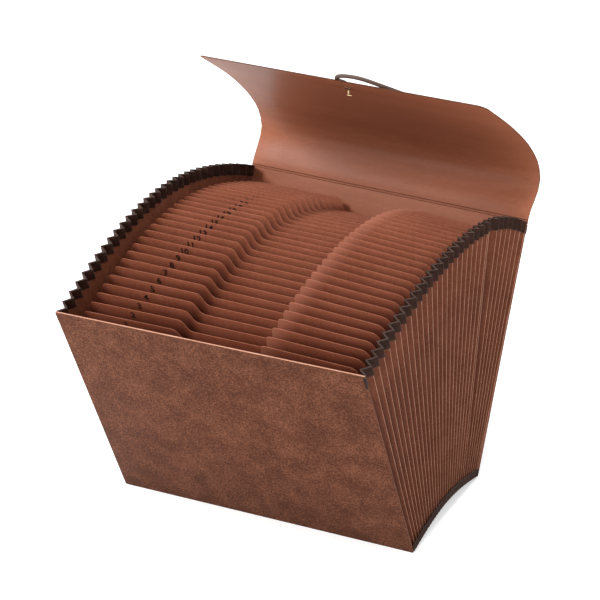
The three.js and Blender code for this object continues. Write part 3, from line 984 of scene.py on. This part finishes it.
    def corner_lap(self) -> None:
        """Laps the corner tape on to the front cover's face, at its upper right corner."""
        bpy.ops.mesh.primitive_cube_add(size=1.0)
        piece = bpy.context.object
        self.bench.name(piece, "corner_lap_right")
        up = Vector((0, -math.sin(FRONT_LEAN), math.cos(FRONT_LEAN)))
        out = Vector((0, -math.cos(FRONT_LEAN), -math.sin(FRONT_LEAN)))
        low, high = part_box("front_cover")
        top = Vector((high[0], low[1], COVER_HEIGHT * math.cos(FRONT_LEAN)))
        centre = top - up * (LAP_DROP + LAP_LENGTH / 2) + out * LAP_PROUD / 2
        centre.x += LAP_OVERHANG - LAP_WIDTH / 2
        rotation = Matrix((Vector((1, 0, 0)), up, out)).transposed().to_4x4()
        size = Matrix.Diagonal((LAP_WIDTH, LAP_LENGTH, LAP_PROUD, 1.0))
        piece.matrix_world = Matrix.Translation(centre) @ rotation @ size
        self.bench.apply_place(piece)
        self.paint(piece, self.materials.tape, self.materials.tape_edge)
        # The lap's rounded edges get the painted highlight
        self.ease(piece, LAP_EDGE, 1)
        self.bench.smooth(piece)
        self.declare(piece, Body.CASE, Slot.TAPE)

    def build(self) -> None:
        """Builds every visible piece."""
        self.cord()
        bpy.context.view_layer.update()
        self.numerals()
        self.cover()
        self.two_sided("back_cover", "back_cover_board", Body.CASE, self.INSIDE_OF_BACK)
        self.two_sided("flap", "flap_board", Body.FLAP, self.INSIDE_OF_CURL)
        self.score()
        for index in range(1, DIVIDER_COUNT + 1):
            self.divider(index)
        for side in SIDES:
            self.gusset(side)
            self.tape(f"top_tape_{side}")
            self.tape(f"foot_tape_{side}")
            self.tape(f"front_corner_tape_{side}")
            self.tape(f"back_corner_tape_{side}")
        self.corner_lap()
        self.paint(self.nodes["pocket_floor"], self.materials.pleat)
        for metal in ("eyelet", "toggle_shank", "toggle_bar"):
            self.paint(self.nodes[metal], self.materials.brass)

    def numerals(self) -> None:
        """Prints each divider's index number on its raised left part."""
        for index in range(1, DIVIDER_COUNT + 1):
            self.numeral(index)

    def top_at(self, node: bpy.types.Object, x: float) -> Optional[float]:
        """Finds a divider's top edge at one place across it.

        Args:
            node: the divider.
            x: the place across.

        Returns:
            Optional[float]: the height of the edge.
        """
        low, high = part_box(node.name)
        height = high[2]
        while height > low[2]:
            hit = node.ray_cast(Vector((x, low[1] - RAY_RUN_UP, height)), Vector((0, 1, 0)))[0]
            if hit:
                return height
            height -= EDGE_SEARCH_STEP
        return None

    def numeral(self, index: int) -> None:
        """Prints one index number.

        Args:
            index: the divider's number.
        """
        node = self.nodes[f"divider_{index:02d}"]
        x = NUMERAL_ACROSS + NUMERAL_DRIFT * index
        height = self.top_at(node, x)
        if height is None:
            LOG.warning("divider %d has no edge at %.4f", index, x)
            return
        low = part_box(node.name)[0]
        start = Vector((x, low[1] - RAY_RUN_UP, height - NUMERAL_DROP))
        hit, place, normal, _ = node.ray_cast(start, Vector((0, 1, 0)))
        if not hit:
            LOG.warning("divider %d isn't hit for its number", index)
            return
        up = (Vector((0, 0, 1)) - normal * normal.z).normalized()
        right = up.cross(normal)
        bpy.ops.object.select_all(action="DESELECT")
        bpy.ops.object.text_add()
        text = bpy.context.object
        text.data.body = str(index)
        text.data.size = NUMERAL_SIZE
        text.data.align_x = "CENTER"
        text.data.align_y = "CENTER"
        text.data.extrude = NUMERAL_PROUD
        text.data.offset = NUMERAL_WEIGHT
        text.data.resolution_u = NUMERAL_ROUNDNESS
        self.bench.alone(text)
        bpy.ops.object.convert(target="MESH")
        piece = bpy.context.object
        rotation = Matrix((right, up, normal)).transposed().to_4x4()
        piece.matrix_world = Matrix.Translation(place + normal * NUMERAL_LIFT) @ rotation
        self.bench.apply_place(piece)
        self.bench.name(piece, f"index_number_{index:02d}")
        self.paint(piece, self.materials.ink)
        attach(piece, Body.CASE.value)


class Studio:
    """Camera, floor and light."""

    FLOOR_SIZE = 14.0
    FLOOR_DROP = 0.2 * MM
    FLOOR_WHITE = (0.86, 0.86, 0.86, 1.0)
    FLOOR_GLOW = 0.45
    WORLD_STRENGTH = 0.60
    SOFT_BOXES: tuple[SoftBox, ...] = (
        SoftBox("upper_left_softbox", (-1.7, -1.2, 2.3), (0, 0, 0.2), 0.9, 62.0),
        SoftBox("right_softbox", (2.2, -1.0, 1.5), (0, 0, 0.2), 1.2, 13.0),
        SoftBox("overhead_softbox", (0.2, 0.2, 2.6), (0, 0, 0.2), 1.2, 34.0),
        SoftBox("front_softbox", (-1.3, -2.5, 0.75), (0, 0.1, 0.3), 1.2, 9.0),
    )

    def camera(self, pose: CameraPose) -> None:
        """Places the camera.

        Args:
            pose: where the photograph was taken from.
        """
        data = bpy.data.cameras.new("photo_camera")
        data.lens = pose.lens
        data.sensor_width = 36.0
        data.clip_end = 20.0
        camera = bpy.data.objects.new("photo_camera", data)
        bpy.context.collection.objects.link(camera)
        camera.matrix_world = pose.matrix()
        bpy.context.scene.camera = camera

    def floor(self) -> None:
        """Lays the pale floor, lit to plain white, with the shadow left on it."""
        bpy.ops.mesh.primitive_plane_add(size=self.FLOOR_SIZE, location=(0, 0, -self.FLOOR_DROP))
        floor = bpy.context.object
        floor.name = "studio_floor"
        graph = NodeGraph("studio_floor")
        graph.surface.inputs["Base Color"].default_value = self.FLOOR_WHITE
        graph.surface.inputs["Roughness"].default_value = 0.9
        graph.surface.inputs["Specular IOR Level"].default_value = 0.1
        graph.surface.inputs["Emission Color"].default_value = (1.0, 1.0, 1.0, 1.0)
        path = graph.tree.nodes.new("ShaderNodeLightPath")
        glow = graph.math("MULTIPLY", path.outputs["Is Camera Ray"], self.FLOOR_GLOW)
        graph.join(glow, graph.surface.inputs["Emission Strength"])
        floor.data.materials.append(graph.material)

    def area(self, box: SoftBox) -> None:
        """Hangs a soft box.

        Args:
            box: the light.
        """
        data = bpy.data.lights.new(box.name, "AREA")
        data.size = box.size
        data.energy = box.power
        light = bpy.data.objects.new(box.name, data)
        bpy.context.collection.objects.link(light)
        light.location = box.place
        aim = Vector(box.target) - Vector(box.place)
        light.rotation_euler = aim.to_track_quat("-Z", "Y").to_euler()

    def world(self) -> None:
        """Fills the room with even light, seen by the camera as white."""
        world = bpy.data.worlds.new("studio")
        bpy.context.scene.world = world
        world.use_nodes = True
        tree = world.node_tree
        tree.nodes.clear()
        output = tree.nodes.new("ShaderNodeOutputWorld")
        fill = tree.nodes.new("ShaderNodeBackground")
        fill.inputs["Strength"].default_value = self.WORLD_STRENGTH
        seen = tree.nodes.new("ShaderNodeBackground")
        seen.inputs["Strength"].default_value = 1.0
        seen.inputs["Color"].default_value = (1, 1, 1, 1)
        fill.inputs["Color"].default_value = (1, 1, 1, 1)
        path = tree.nodes.new("ShaderNodeLightPath")
        mix = tree.nodes.new("ShaderNodeMixShader")
        tree.links.new(path.outputs["Is Camera Ray"], mix.inputs["Fac"])
        tree.links.new(fill.outputs["Background"], mix.inputs[1])
        tree.links.new(seen.outputs["Background"], mix.inputs[2])
        tree.links.new(mix.outputs["Shader"], output.inputs["Surface"])

    def build(self) -> None:
        """Sets up the whole studio."""
        self.camera(CameraPose())
        self.floor()
        self.world()
        for box in self.SOFT_BOXES:
            self.area(box)
        bpy.context.scene.view_settings.view_transform = "Standard"


def main() -> None:
    """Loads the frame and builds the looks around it."""
    logging.basicConfig(level=logging.INFO)
    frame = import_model()
    studio = Studio()
    studio.build()
    Folder(frame, Materials()).build()
    bpy.context.view_layer.update()


if __name__ == "__main__":
    main()
